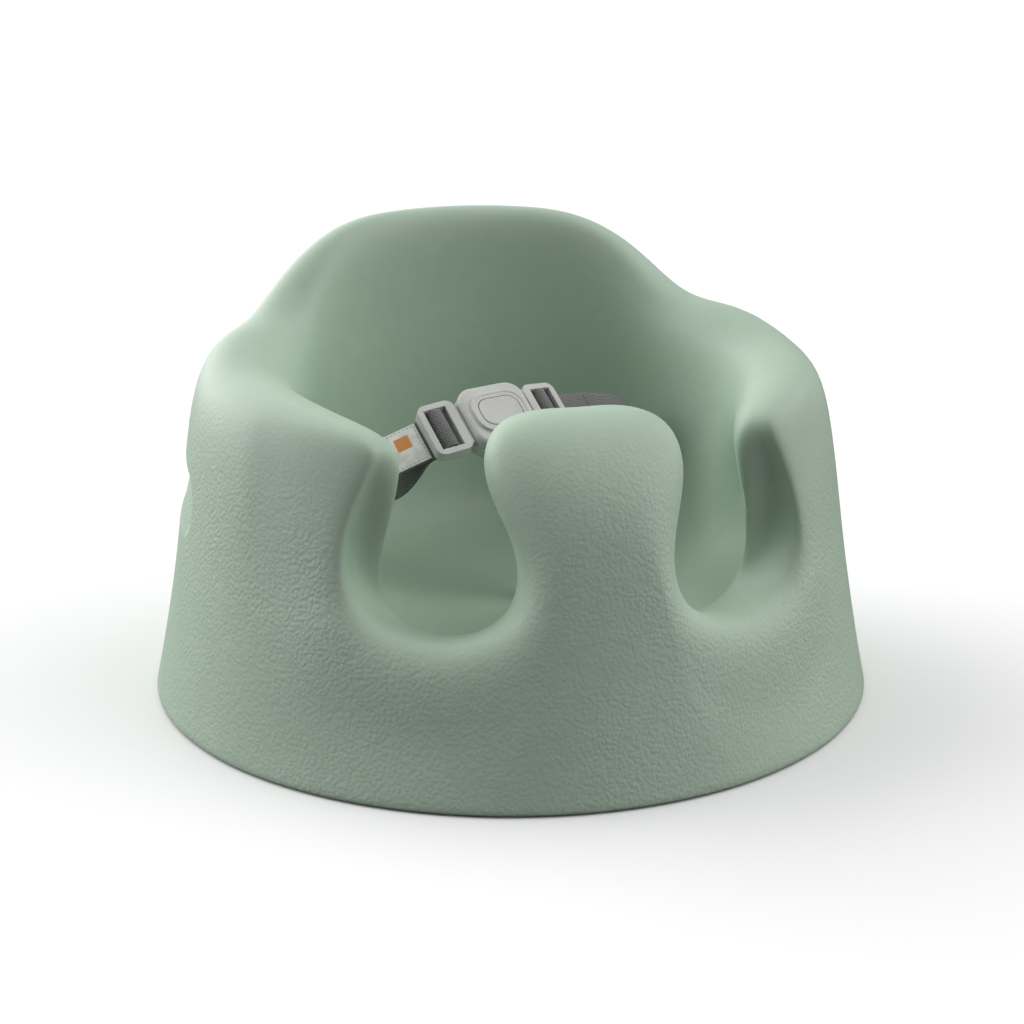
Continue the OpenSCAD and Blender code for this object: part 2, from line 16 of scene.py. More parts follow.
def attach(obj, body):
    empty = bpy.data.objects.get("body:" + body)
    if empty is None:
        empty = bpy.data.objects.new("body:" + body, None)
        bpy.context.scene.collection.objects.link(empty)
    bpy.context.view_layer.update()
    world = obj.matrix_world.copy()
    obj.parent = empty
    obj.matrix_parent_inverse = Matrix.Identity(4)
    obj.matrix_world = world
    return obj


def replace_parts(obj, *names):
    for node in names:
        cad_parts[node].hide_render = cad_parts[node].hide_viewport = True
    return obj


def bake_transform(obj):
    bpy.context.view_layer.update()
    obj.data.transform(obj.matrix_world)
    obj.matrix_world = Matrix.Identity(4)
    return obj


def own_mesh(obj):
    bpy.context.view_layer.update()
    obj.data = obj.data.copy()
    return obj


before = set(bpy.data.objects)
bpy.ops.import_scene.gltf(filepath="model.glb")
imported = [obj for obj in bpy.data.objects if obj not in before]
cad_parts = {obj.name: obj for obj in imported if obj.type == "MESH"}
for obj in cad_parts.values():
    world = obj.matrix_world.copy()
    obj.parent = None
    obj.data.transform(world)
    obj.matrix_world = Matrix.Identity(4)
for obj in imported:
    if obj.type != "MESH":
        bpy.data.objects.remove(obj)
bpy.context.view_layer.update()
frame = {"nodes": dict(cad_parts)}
nodes = frame["nodes"]
MM = 0.001

# %% [markdown]
# ## The camera
# A product photograph like this is taken a little from the left and from above, with a long lens.
# The camera stands on a sphere round a point in the tub: two angles and a distance say where.

# %% Camera
VIEW_TURN, VIEW_RISE, VIEW_DISTANCE = -15.5, 16.73, 958.9
VIEW_TARGET = (0.7, 85.78)  # sideways and up, in millimetres
SENSOR_W, LENS = 36, 63.28
turn, rise = math.radians(VIEW_TURN), math.radians(VIEW_RISE)
look_back = Vector((math.sin(turn) * math.cos(rise), -math.cos(turn) * math.cos(rise), math.sin(rise)))
look_right = Vector((math.cos(turn), math.sin(turn), 0))
eye = Vector((0, 0, VIEW_TARGET[1])) + look_right * VIEW_TARGET[0] + look_back * VIEW_DISTANCE
camera_data = bpy.data.cameras.new("photo_camera")
camera_data.sensor_width = SENSOR_W
camera_data.lens = LENS
camera_data.clip_start, camera_data.clip_end = 0.01, 100
camera = bpy.data.objects.new("photo_camera", camera_data)
camera.location = eye * MM
camera.rotation_euler = (math.radians(90 - VIEW_RISE), 0, turn)
bpy.context.scene.collection.objects.link(camera)
bpy.context.scene.camera = camera
print("camera stands at", [round(x, 3) for x in camera.location])

# %% [markdown]
# ## Words for shader maths
# A material is a graph of nodes. Written node by node it is long and hard to read, so a wire out of
# a node is wrapped here in a small class: adding or multiplying two wires adds the Math node for it,
# and any other node comes from one method that takes its type, its settings and its inputs. The
# nodes that nearly every finish needs, such as noise and bump, have a short word of their own.

# %% The wire class
class Wire:
    """An output of a node, which can be added, multiplied and compared like a number."""

    def __init__(self, tree, socket=None):
        self.tree = tree
        self.socket = socket

    def node(self, kind, settings=None, inputs=None, output=0):
        """Adds a node of a type, gives it its settings first and then its inputs, and returns one output."""
        made = self.tree.nodes.new(kind)
        for name, value in (settings or {}).items():
            setattr(made, name, value)
        for name, value in (inputs or {}).items():
            if isinstance(value, Wire):
                self.tree.links.new(value.socket, made.inputs[name])
            else:
                made.inputs[name].default_value = value
        return Wire(self.tree, made.outputs[output])

    def math(self, operation, *values):
        """A Math node of any operation, for what has no sign in Python."""
        return self.node("ShaderNodeMath", {"operation": operation}, dict(enumerate(values)))

    def __add__(self, other):
        return self.math("ADD", self, other)

    def __rsub__(self, other):
        return self.math("SUBTRACT", other, self)

    def __mul__(self, other):
        return self.math("MULTIPLY", self, other)

    __radd__ = __add__
    __rmul__ = __mul__

    def ease(self, start, end):
        """0 below start, 1 above end, and a soft step between."""
        return self.node("ShaderNodeMapRange", {"interpolation_type": "SMOOTHSTEP"},
                         {"Value": self, "From Min": start, "From Max": end})

    def mix(self, low, high):
        """The colour low where this wire is 0 and high where it is 1."""
        return self.node("ShaderNodeMix", {"data_type": "RGBA"}, {0: self, 6: low, 7: high}, 2)

    def waves(self):
        """Humps between 0 and 1, one for every half turn of this angle."""
        return self.math("ABSOLUTE", self.math("SINE", self))

    def here(self):
        """The place on the piece itself, in metres."""
        return self.node("ShaderNodeTexCoord", output="Object")

    def mark(self, name):
        """A float attribute that the mesh carries."""
        return self.node("ShaderNodeAttribute", {"attribute_name": name}, output="Fac")

    def noise(self, scale, detail=2.0, output="Fac"):
        """Soft noise over the piece, with that many waves to the metre."""
        return self.node("ShaderNodeTexNoise", {},
                         {"Vector": self.here(), "Scale": scale, "Detail": detail}, output)

    def bump(self, height, strength, distance):
        """The normals of a surface that this height would raise."""
        return self.node("ShaderNodeBump", {}, {"Height": height, "Strength": strength, "Distance": distance})


def srgb(red, green, blue):
    """A colour as a picture file writes it, 0 to 255, as the light values that Blender works with."""
    def light(value):
        value /= 255
        return value / 12.92 if value <= 0.04045 else ((value + 0.055) / 1.055) ** 2.4
    return (light(red), light(green), light(blue), 1.0)


def new_material(name):
    """An empty material with its Principled shader, and a wire to draw the rest from."""
    material = bpy.data.materials.new(name)
    material.use_nodes = True
    return material, material.node_tree.nodes["Principled BSDF"], Wire(material.node_tree)


def plug(shader, **inputs):
    """Sets or links inputs of the shader; an underscore in a name stands for a space."""
    for name, value in inputs.items():
        socket = shader.inputs[name.replace("_", " ")]
        if isinstance(value, Wire):
            value.tree.links.new(value.socket, socket)
        else:
            socket.default_value = value


# %% [markdown]
# ## A skin over rings
# Most of this seat can be drawn as rings of points joined one to the next: the tub, the webbing,
# the round buckle parts. A mesh circle gives the first ring, its edges are extruded to make each
# further ring, and the ends are either capped or joined to each other. Doing it with operators
# means Blender keeps count of vertices and faces, and the script only says where each ring goes.

# %% The skin helper
def put_in_scene(bm, name, smooth=True):
    """Turns a finished bmesh into an object, with its faces pointing outwards."""
    bmesh.ops.recalc_face_normals(bm, faces=bm.faces)
    for face in bm.faces:
        face.smooth = smooth
    mesh = bpy.data.meshes.new(name)
    bm.to_mesh(mesh)
    bm.free()
    made = bpy.data.objects.new(name, mesh)
    bpy.context.scene.collection.objects.link(made)
    return made


def skin(rings, marks=None, torus=False):
    """A bmesh drawn over rings of points in millimetres. marks gives float attributes by ring and place."""
    bm = bmesh.new()
    place = bm.verts.layers.int.new("place")
    layers = {name: bm.verts.layers.float.new(name) for name in (marks or {})}
    bmesh.ops.create_circle(bm, cap_ends=False, segments=len(rings[0]), radius=1)
    for index, vertex in enumerate(bm.verts):
        vertex[place] = index
    ring, edges = list(bm.verts), list(bm.edges)
    first = edges
    for row, points in enumerate(rings):
        if row:
            made = bmesh.ops.extrude_edge_only(bm, edges=edges)["geom"]
            ring = [part for part in made if isinstance(part, bmesh.types.BMVert)]
            fresh = set(ring)
            edges = [part for part in made
                     if isinstance(part, bmesh.types.BMEdge) and fresh.issuperset(part.verts)]
        for vertex in ring:
            index = vertex[place]
            vertex.co = Vector(points[index]) * MM
            for name, layer in layers.items():
                vertex[layer] = marks[name](row, index)
    if torus:
        bmesh.ops.bridge_loops(bm, edges=first + edges)
    else:
        bmesh.ops.contextual_create(bm, geom=first)
        bmesh.ops.contextual_create(bm, geom=edges)
    bm.verts.layers.int.remove(bm.verts.layers.int["place"])
    return bm


def size_line(obj):
    box = [Vector(corner) for corner in obj.bound_box]
    size = [max(c[i] for c in box) - min(c[i] for c in box) for i in range(3)]
    return f"{obj.name}: {len(obj.data.polygons)} faces, " + " x ".join(f"{s / MM:.1f}" for s in size) + " mm"


# %% [markdown]
# ## The foam tub
# The real seat is one piece of soft foam with its own closed skin, moulded in one go. Nothing on it
# is flat apart from the base, so a cage of a few hundred quads with a Subdivision Surface is the
# natural way to model it: the cage has one upright rib per station round the tub, and the surface
# between them is as smooth as the mould. The stations are the ones that the CAD is built from, so
# the two agree: post, leg openings, armrest ends, armrests, shoulders and backrest.

# %% Tub sizes
BASE_D, BACK_H, ARM_H, SHOULDER_H, POST_H = 380, 235, 158, 180, 166
POST_HEAD_W, POST_NECK_W, LEG_H, ARM_OUTER_W = 92, 76, 68, 338
ARM_T, ARM_END_T, BACK_T, POST_T = 66, 34, 38, 50
BACK_LEAN, FRONT_LEAN, SEAT_H, SEAT_R, FOOT_R = 60, 40, 58, 88, 3
BASE_R = BASE_D / 2
WALL_H, FRONT_REACH, BACK_REACH, WALL_CURVE = 140, 220, 260, 1.5
CREST_H, CREST_LEAN, HOLLOW_OUT = 165, 0.3, 0.5


def sin_deg(angle):
    return math.sin(math.radians(angle))


def cos_deg(angle):
    return math.cos(math.radians(angle))


def lerp(a, b, t):
    return a + (b - a) * t


def wall_lean(z, height, amount):
    """How far the wall has leant in at a height: fast at first, then upright."""
    return amount * (1 - max(1 - z / height, 0) ** WALL_CURVE)


def outer_r(angle, z):
    """The tub's outside radius at an angle from the front and a height."""
    side = wall_lean(z, WALL_H, BASE_R - ARM_OUTER_W / 2) + CREST_LEAN * max(z - CREST_H, 0)
    if cos_deg(angle) > 0:
        end = wall_lean(z, FRONT_REACH, FRONT_LEAN)
    else:
        end = wall_lean(z, BACK_REACH, BACK_LEAN)
    return BASE_R - sin_deg(angle) ** 2 * side - cos_deg(angle) ** 2 * end


# %% [markdown]
# A station says where its rib stands at the base, then the angle and height just under the lip, the
# angle and height of the lip itself, how thick the wall is, how far the lip sits in from the wall, how
# far the rim is on its way down, how far the lip is turned round and tilted, and how hollow it is.

# %% Tub stations
head_a = math.degrees(math.asin(POST_HEAD_W / 2 / (BASE_R - FRONT_LEAN)))
neck_a = math.degrees(math.asin(POST_NECK_W / 2 / (BASE_R - FRONT_LEAN / 2)))
stations = [
    (0, (0, POST_H - 30), (0, POST_H + 4.5), POST_T, 12, 1, 0, 0, 0),
    (4, (3, POST_H - 30), (head_a / 2, POST_H + 5.5), POST_T, 12, 1, 0, 0, 0),
    (8, (6, POST_H - 33), (head_a + 3, POST_H + 1), POST_T, 10, 1, 0, 0, 0),
    (12, (8, POST_H - 44), (head_a + 5, POST_H - 24), POST_T, 8, 1, 0, 0, 0),
    (16, (8.5, POST_H - 66), (neck_a + 1, 112), POST_T, 3, 0.9, 0, 0, 0),
    (20, (10, 66), (neck_a + 1, LEG_H + 10), POST_T, 2, 0.5, 0, 4, 0),
    (27, (26, LEG_H - 30), (27, LEG_H - 3), POST_T, 2, 0.3, 0, 9, 0),
    (35, (47, LEG_H - 20), (40, LEG_H + 9), ARM_END_T + 12, 2, 0.3, 1, 6, 3),
    (42, (58, LEG_H + 16), (37, LEG_H + 36), ARM_END_T - 2, 2, 0.35, 7.5, 0, 13.5),
    (49, (62, ARM_H - 52), (32, ARM_H - 26), ARM_END_T - 8, 2, 0.45, 9, 0, 15),
    (55, (63, ARM_H - 40), (30.5, ARM_H + 2), ARM_END_T - 3, 0, 0.7, 4, 2, 5.5),
    (62, (66, ARM_H - 36), (49, ARM_H + 9), ARM_T - 14, -3, 0.8, 0, 4, 0),
    (74, (74, ARM_H - 46), (70, ARM_H + 15), ARM_T, -6, 0.75, 0, 5, 0),
    (88, (88, ARM_H - 46), (88, lerp(ARM_H, SHOULDER_H, 0.6) + 5), ARM_T, -6, 0.75, 0, 5, 0),
    (104, (104, SHOULDER_H - 64), (104, SHOULDER_H + 9), ARM_T, -5, 0.8, 0, 5, 0),
    (120, (120, SHOULDER_H - 52), (119, SHOULDER_H + 7), lerp(ARM_T, BACK_T, 0.4), 2, 1, 0, 3, 0),
    (133, (133, BACK_H - 80), (131, BACK_H - 17), BACK_T + 4, 2, 1, 0, 0, 0),
    (148, (148, BACK_H - 60), (147, BACK_H - 1), BACK_T, 0, 1, 0, 0, 0),
    (164, (164, BACK_H - 50), (164, BACK_H + 1), BACK_T, 0, 1, 0, 0, 0),
    (180, (180, BACK_H - 50), (180, BACK_H + 2), BACK_T, 0, 1, 0, 0, 0),
]


def swell(k):
    """A subdivided ring shrinks a little inside its cage, and this makes up for it."""
    def step(i):
        return cos_deg(stations[i][0] - stations[i - 1][0])
    return 6 / (4 + step(max(k, 1)) + step(min(k + 1, len(stations) - 1)))


def polar(angle, radius, z):
    return (radius * sin_deg(angle), -radius * cos_deg(angle), z)


def eased(a, b, c):
    """A cage point drawn a little towards its two neighbours."""
    return tuple((p + 6 * q + r) / 8 for p, q, r in zip(a, b, c))


def rib(k):
    """The cage points of one rib, from under the base up the outside, over the lip and down inside."""
    base_a, (low_a, low_z), (lip_a, lip_z), thick, inset, rim, skew, tilt, hollow = stations[k]
    grow = swell(k)
    lip_r = outer_r(lip_a, lip_z) - thick / 2 - inset
    low_r = min(outer_r(low_a, low_z) - thick / 2, lip_r + 22)
    in_z = max(low_z, SEAT_H + 2)
    a1, z1 = lerp(base_a, low_a, 0.6), lerp(8, low_z, 0.38)
    a2, z2 = lerp(base_a, low_a, 0.9), lerp(8, low_z, 0.72)
    rim_a, rim_z = lerp(lip_a, low_a, rim), lerp(lip_z, low_z, rim)
    rim_r = lerp(min(lip_r + thick / 2 + inset, outer_r(rim_a, rim_z)), low_r + thick / 2, rim)
    rim_point = polar(rim_a, grow * rim_r, rim_z)
    out_point = polar(lip_a + skew, grow * (lip_r + thick / 2), lip_z + tilt)
    in_point = polar(lip_a - skew, lip_r - thick / 2, lip_z - tilt)
    low_point = polar(low_a, low_r - thick / 2, in_z)
    foot = 2 + 2 * FOOT_R
    return [
        polar(base_a, grow * (BASE_R - 20), 0),
        polar(base_a, grow * (BASE_R - FOOT_R), 0),
        polar(base_a, grow * (BASE_R + 0.5), 0.5),
        polar(base_a, grow * outer_r(base_a, foot), foot),
        polar(a1, grow * outer_r(a1, z1), z1),
        polar(a2, grow * outer_r(a2, z2), z2),
        rim_point,
        eased(rim_point, out_point, in_point),
        polar(lip_a + hollow, lip_r + HOLLOW_OUT * hollow, lip_z),
        eased(out_point, in_point, low_point),
        low_point,
        polar(a1, lerp(low_r - thick / 2, SEAT_R + 4, 0.3), lerp(in_z, SEAT_H, 0.6)),
        polar(base_a, SEAT_R, SEAT_H + 4),
        polar(base_a, 60, SEAT_H - 2),
        polar(base_a, 25, SEAT_H - 2),
    ]


# %% [markdown]
# The outside of the tub is pebbled like hammered leather and the lips and the inside are smooth, so
# each cage point also carries how much grain its row has. The subdivision spreads that smoothly.

# %% Cage and subdivision
GRAIN_BY_ROW = (1, 1, 1, 1, 1, 1, 1, 0.4, 0.1, 0.1, 0.1, 0.1, 0.1, 0.1, 0.1)
right_ribs = [rib(k) for k in range(len(stations))]
left_ribs = [[(-x, y, z) for x, y, z in points] for points in right_ribs[-2:0:-1]]
cage_ribs = right_ribs + left_ribs
cage_rows = [list(row) for row in zip(*cage_ribs)]
tub = put_in_scene(skin(cage_rows, {"grain": lambda row, i: GRAIN_BY_ROW[row]}), "foam_tub")
print("cage:", size_line(tub))


def apply_modifiers(obj):
    """Bakes what an object's modifiers make into its own mesh."""
    graph = bpy.context.evaluated_depsgraph_get()
    old = obj.data
    obj.data = bpy.data.meshes.new_from_object(obj.evaluated_get(graph), depsgraph=graph)
    obj.modifiers.clear()
    bpy.data.meshes.remove(old)


rounder = tub.modifiers.new("round", "SUBSURF")
rounder.levels = rounder.render_levels = 3
apply_modifiers(tub)
print("rounded:", size_line(tub))

# %% [markdown]
# ### Softer armrest ends
# Foam can't hold a crisp edge. Where the hollow face of an armrest end turns into the outer wall the
# points are drawn towards their neighbours a few times, which rounds that edge and leaves the rest.

# The zone has a soft border: the further inside it a point stands, the more passes it takes part in.

# %% Soften the armrest ends
END_FROM, END_TO, END_LOW, END_PASSES = 33, 64, 76, 60
END_INNER, END_SLOPE, END_SLOPE_FROM = 139, 0.35, 122  # the zone's inner radius grows with the height
FADE_IN, FADE_UP, FADE_TURN = 14, 10, 4  # the zone's soft border: two widths in millimetres, one in degrees


def end_share(x, y, z):
    """How much of the softening a point takes: 0 or less outside the zone, 1 and more well inside."""
    angle = math.degrees(math.atan2(abs(x), -y))
    inner = END_INNER + END_SLOPE * max(z - END_SLOPE_FROM, 0)
    return min((math.hypot(x, y) - inner) / FADE_IN, (z - END_LOW) / FADE_UP,
               (angle - END_FROM) / FADE_TURN, (END_TO - angle) / FADE_TURN)


def relax(bm, points):
    """Draws each of these points halfway to the middle of its neighbours."""
    bmesh.ops.smooth_vert(bm, verts=points, factor=0.5, use_axis_x=True, use_axis_y=True, use_axis_z=True)


bm = bmesh.new()
bm.from_mesh(tub.data)
end_points = [(vertex, end_share(*(vertex.co / MM))) for vertex in bm.verts]
for step in range(END_PASSES):
    relax(bm, [vertex for vertex, share in end_points if share > step / END_PASSES])
bm.to_mesh(tub.data)
bm.free()
print("softened points:", sum(share > 0 for _, share in end_points))

# %% [markdown]
# ### The tray grooves
# A clip-on tray grips the tub in a shallow groove on each side. It is pressed into the skin, sharp
# along its top edge and fading out below. A cut with a Boolean would leave hard corners, so the mesh
# is made finer there instead, its points are pushed in to the groove's own round floor, and the edge
# is relaxed until it is even.

# %% Press the grooves in
GROOVE_DEPTH, GROOVE_L, GROOVE_MID, GROOVE_H, GROOVE_SLOPE, GROOVE_BACK = 5, 92, 112, 30, 12, 24
GROOVE_CORNER = 0.45 * GROOVE_H
WALL_BEND, SKIN_SINK, GROOVE_FILLET, GROOVE_PASSES = 144, 1, 1.3, 8
FINE_MARGIN, LIP_MARGIN, OUTSIDE_R, SIDE_X = 7, 3, 140, 100
groove_axis = outer_r(90, GROOVE_MID) - WALL_BEND


def groove_plane(x, y, z):
    """How far a point lies along and up the groove's own sloping frame."""
    dy, dz = y - GROOVE_BACK, z - GROOVE_MID
    return (dy * cos_deg(GROOVE_SLOPE) + dz * sin_deg(GROOVE_SLOPE),
            dz * cos_deg(GROOVE_SLOPE) - dy * sin_deg(GROOVE_SLOPE))


def groove_edge(x, y, z):
    """Distance outside the groove's outline, negative inside it."""
    along, up = groove_plane(x, y, z)
    dx = abs(along) - GROOVE_L / 2 + GROOVE_CORNER
    dy = abs(up) - GROOVE_H / 2 + GROOVE_CORNER
    return math.hypot(max(dx, 0), max(dy, 0)) + min(max(dx, dy), 0) - GROOVE_CORNER


def smooth_step(low, high, value):
    t = min(max((value - low) / (high - low), 0), 1)
    return t * t * (3 - 2 * t)


def press_groove(x, y, z):
    """Where a point of the outer wall goes: on the groove's floor if it stood outside that."""
    low_z = GROOVE_MID - GROOVE_H / 2
    low_x = outer_r(90, low_z) - SKIN_SINK
    high_x = outer_r(90, low_z + GROOVE_H) - SKIN_SINK - GROOVE_DEPTH
    floor_r = lerp(low_x, high_x, (z - low_z) / GROOVE_H) - groove_axis
    r = math.hypot(x - groove_axis, y)
    share = 1 - smooth_step(-GROOVE_FILLET, GROOVE_FILLET, groove_edge(x, y, z))
    if r <= floor_r or share == 0:
        return x, y
    keep = lerp(1, floor_r / r, share)
    return groove_axis + (x - groove_axis) * keep, y * keep


def near_groove(face):
    centre = face.calc_center_median() / MM
    outside = math.hypot(centre.x, centre.y) > ARM_OUTER_W / 2 - 30
    return outside and groove_edge(abs(centre.x), centre.y, centre.z) < FINE_MARGIN


def on_groove_lip(x, y, z):
    """Whether a point of the mesh, in millimetres, stands on the groove's edge, on the outer wall."""
    return abs(x) > SIDE_X and math.hypot(x, y) > OUTSIDE_R and abs(groove_edge(abs(x), y, z)) < LIP_MARGIN


bm = bmesh.new()
bm.from_mesh(tub.data)
fine = {edge for face in bm.faces if near_groove(face) for edge in face.edges}
bmesh.ops.subdivide_edges(bm, edges=list(fine), cuts=5, use_grid_fill=True, smooth=0)
pushed = 0
for vertex in bm.verts:
    x, y, z = vertex.co / MM
    if abs(x) > SIDE_X and groove_edge(abs(x), y, z) < GROOVE_FILLET and math.hypot(x, y) > OUTSIDE_R:
        new_x, new_y = press_groove(abs(x), y, z)
        pushed = max(pushed, math.hypot(abs(x) - new_x, y - new_y))
        vertex.co = Vector((math.copysign(new_x, x), new_y, z)) * MM
lip_points = [vertex for vertex in bm.verts if on_groove_lip(*(vertex.co / MM))]
for _ in range(GROOVE_PASSES):
    relax(bm, lip_points)
bm.to_mesh(tub.data)
bm.free()
print(f"grooves: deepest point {pushed:.1f} mm,", size_line(tub))

# %% [markdown]
# ### Strap slots
# Each strap goes straight down through the seat to a plastic rod that lies in a pocket under the
# base. The slots and pockets are plain cuts in the foam, so a Boolean with simple boxes is right.

# %% Cut the slots and pockets
ANCHOR_X, ANCHOR_Y, CROTCH_Y = 88, 35, 60
WEB_W, CROTCH_WEB_W, WEB_T = 23, 20, 1.5
SLOT_T, ROD_D, ROD_OVER, POCKET_DEPTH = 5.6, 8, 8, 15
POCKET_W = ROD_D + 2 * WEB_T + 5


def box_cutter(name, boxes):
    """One mesh of several boxes, each given by its middle and its size."""
    bm = bmesh.new()
    for middle, size in boxes:
        bmesh.ops.create_cube(bm, size=1, matrix=Matrix.Translation(Vector(middle) * MM)
                              @ Matrix.Diagonal((*(s * MM for s in size), 1)))
    return put_in_scene(bm, name, smooth=False)


def cut_away(obj, cutter):
    cut = obj.modifiers.new("cut", "BOOLEAN")
    cut.operation, cut.solver, cut.object = "DIFFERENCE", "EXACT", cutter
    apply_modifiers(obj)
    bpy.data.objects.remove(cutter)


WAIST_SLOT_TOP, CROTCH_SLOT_TOP, CUT_UNDER, SLOT_SIDE_GAP = 111, 91, 1, 2


def upright_cut(x, y, wide, deep, top):
    """The middle and size of a box from just under the base up to a height."""
    return (x, y, (top - CUT_UNDER) / 2), (wide, deep, top + CUT_UNDER)


slots, pockets = [], []
for side in (-1, 1):
    x = side * ANCHOR_X
    slots.append(upright_cut(x, ANCHOR_Y, SLOT_T, WEB_W + SLOT_SIDE_GAP, WAIST_SLOT_TOP))
    pockets.append(upright_cut(x, ANCHOR_Y, POCKET_W, WEB_W + 2 * ROD_OVER + SLOT_SIDE_GAP, POCKET_DEPTH))
slots.append(upright_cut(0, -CROTCH_Y, CROTCH_WEB_W + SLOT_SIDE_GAP, SLOT_T, CROTCH_SLOT_TOP))
pockets.append(upright_cut(0, -CROTCH_Y, CROTCH_WEB_W + 2 * ROD_OVER + SLOT_SIDE_GAP, POCKET_W, POCKET_DEPTH))
cut_away(tub, box_cutter("slot_cutter", slots))
cut_away(tub, box_cutter("pocket_cutter", pockets))
tub.data.set_sharp_from_angle(angle=math.radians(45))
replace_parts(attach(tub, "seat"), "foam_body")
print("cut:", size_line(tub))

# %% [markdown]
# ### The skin of the foam
# Integral-skin foam has the colour right through, a soft satin surface and the pebble of the mould.
# The pebble is a Voronoi pattern of rounded cells about 2 mm across, used as a bump and faded by the
# grain attribute. Wide, faint noise keeps the big surfaces from looking like plain paint.

# %% Foam material
CELLS_PER_M, CELL_BEND = 520.0, 0.0016
foam, shader, wire = new_material("foam_skin")
drift, fine_drift = wire.noise(9.0, 3.0), wire.noise(120.0)
bent = wire.node("ShaderNodeVectorMath", {"operation": "MULTIPLY_ADD"},
                 {0: wire.noise(260.0, output="Color"), 1: (CELL_BEND, CELL_BEND, CELL_BEND), 2: wire.here()})
cells = wire.node("ShaderNodeTexVoronoi", {"feature": "SMOOTH_F1"},
                  {"Vector": bent, "Scale": CELLS_PER_M, "Smoothness": 0.55, "Randomness": 1.0}, "Distance")
pebble = wire.mark("grain") * (0.7 + 0.5 * drift.ease(0.35, 0.65)) * (1 - cells)
tone = (0.7 * drift + 0.3 * fine_drift).ease(0.3, 0.7)
plug(shader, Base_Color=tone.mix(srgb(169, 191, 171), srgb(177, 198, 179)),
     Roughness=0.46 + 0.1 * fine_drift, Normal=wire.bump(pebble + 0.06 * wire.noise(900.0), 0.35, 0.0008))
tub.data.materials.clear()
tub.data.materials.append(foam)

# %% [markdown]
# ## The webbing
# The harness is flat woven webbing. It is modelled directly as a ribbon along its real route: down
# through the slot, round the anchor rod, up to the buckle, round the bar of the adjuster and out as
# a free tail. The route is a list of points, each with the direction that the width lies in. Each
# point of the ribbon carries how far it is along and across, in millimetres, for the weave.

# %% Routes of the straps
BUCKLE_AT = Vector((-13, -20, 142.5))
BUCKLE_TURN = (Matrix.Rotation(math.radians(14), 3, "Z") @ Matrix.Rotation(math.radians(40), 3, "X")
               @ Matrix.Rotation(math.radians(4), 3, "Z"))
ROD_Z = POCKET_DEPTH - ROD_D / 2 - WEB_T - 2.5
LOOP_R = ROD_D / 2 + WEB_T / 2 + 0.1
PLY = WEB_T / 2 + 0.1


def buckle_dir(x, y, z):
    return BUCKLE_TURN @ Vector((x, y, z))


def buckle_point(x, y, z):
    return BUCKLE_AT + buckle_dir(x, y, z)


def arc(centre, radius, start, end, step):
    """Points on an arc in a plane, from one angle to another."""
    count = round(abs(end - start) / step)
    return [(centre[0] + radius * cos_deg(lerp(start, end, i / count)),
             centre[1] + radius * sin_deg(lerp(start, end, i / count))) for i in range(count + 1)]


def smooth_route(pairs, steps):
    """A smooth curve through given points, and its width directions with it."""
    def through(a, b, c, d, t):
        return 0.5 * (2 * b + (c - a) * t + (2 * a - 5 * b + 4 * c - d) * t * t
                      + (3 * b - a - 3 * c + d) * t ** 3)
    made, last = [], len(pairs) - 1
    for i in range(last):
        four = [pairs[max(i - 1, 0)], pairs[i], pairs[i + 1], pairs[min(i + 2, last)]]
        for step in range(steps):
            made.append(tuple(through(*(pair[part] for pair in four), step / steps) for part in (0, 1)))
    return made + [pairs[last]]


anchor_loop = ([(-PLY, POCKET_DEPTH + 18), (-PLY, POCKET_DEPTH + 2)]
               + arc((0, ROD_Z), LOOP_R, 140, 400, 10)
               + [(PLY, POCKET_DEPTH + 2), (PLY, POCKET_DEPTH + 18)])

# %% [markdown]
# The adjuster stands at the end of the belt, a little back from the buckle block. The webbing goes in
# behind it, round its bar and out again over the first layer, so the two layers lie close together.

# %% Webbing at the adjusters
BLOCK_W, BLOCK_H, FRONT_T, REAR_T, BLOCK_CORNER = 38, 36, 7, 8, 9
BUTTON_W, BUTTON_H, BUTTON_TRAVEL, SLIDE_GAP = 24, 17, 2.5, 0.3
FRAME_L, FRAME_T, RAIL_W, FRAME_LEAN, BAR_D, LAND_W = 21.5, 6.4, 3.2, 7, 4.8, 6
TAIL_L, PATCH_L, PATCH_T, PATCH_GAP, PARTING = 26, 20, 0.6, 0.2, -0.1
frame_in = BLOCK_W / 2 + SLIDE_GAP
frame_out = frame_in + FRAME_L
window_in, window_out = frame_in + LAND_W, frame_out - RAIL_W
bar_x = (window_in + window_out) / 2
tail_z = -(FRAME_T / 2 + WEB_T / 2 + 0.25)
load_z = tail_z - WEB_T - 0.2
wrap_r = BAR_D / 2 + WEB_T / 2 + 0.15
tail_from = frame_out + 0.8


def leaned(x, z):
    """A point of the adjuster's own plane, leant back from the block."""
    d = x - frame_in
    return (frame_in + d * cos_deg(FRAME_LEAN) + z * sin_deg(FRAME_LEAN),
            z * cos_deg(FRAME_LEAN) - d * sin_deg(FRAME_LEAN))


def belt_pairs(side, points):
    made = []
    for x, z in points:
        along, out = leaned(x, z)
        made.append((buckle_point(side * along, 0, out), buckle_dir(0, 1, 0)))
    return made


def adjuster_load(drop):
    return [(tail_from + 8 * cos_deg(drop), load_z - 0.6 - 8 * sin_deg(drop)),
            (tail_from - 0.5, load_z - 0.4),
            (bar_x + 4, load_z), (bar_x - 0.5, load_z), (bar_x - 3.7, load_z + 1.7)]


def adjuster_tail(droop):
    return [(bar_x + 4.5, tail_z + 0.4), (window_out + 0.6, tail_z), (tail_from, tail_z - 0.3),
            (tail_from + TAIL_L * cos_deg(droop), tail_z - 0.3 - TAIL_L * sin_deg(droop))]


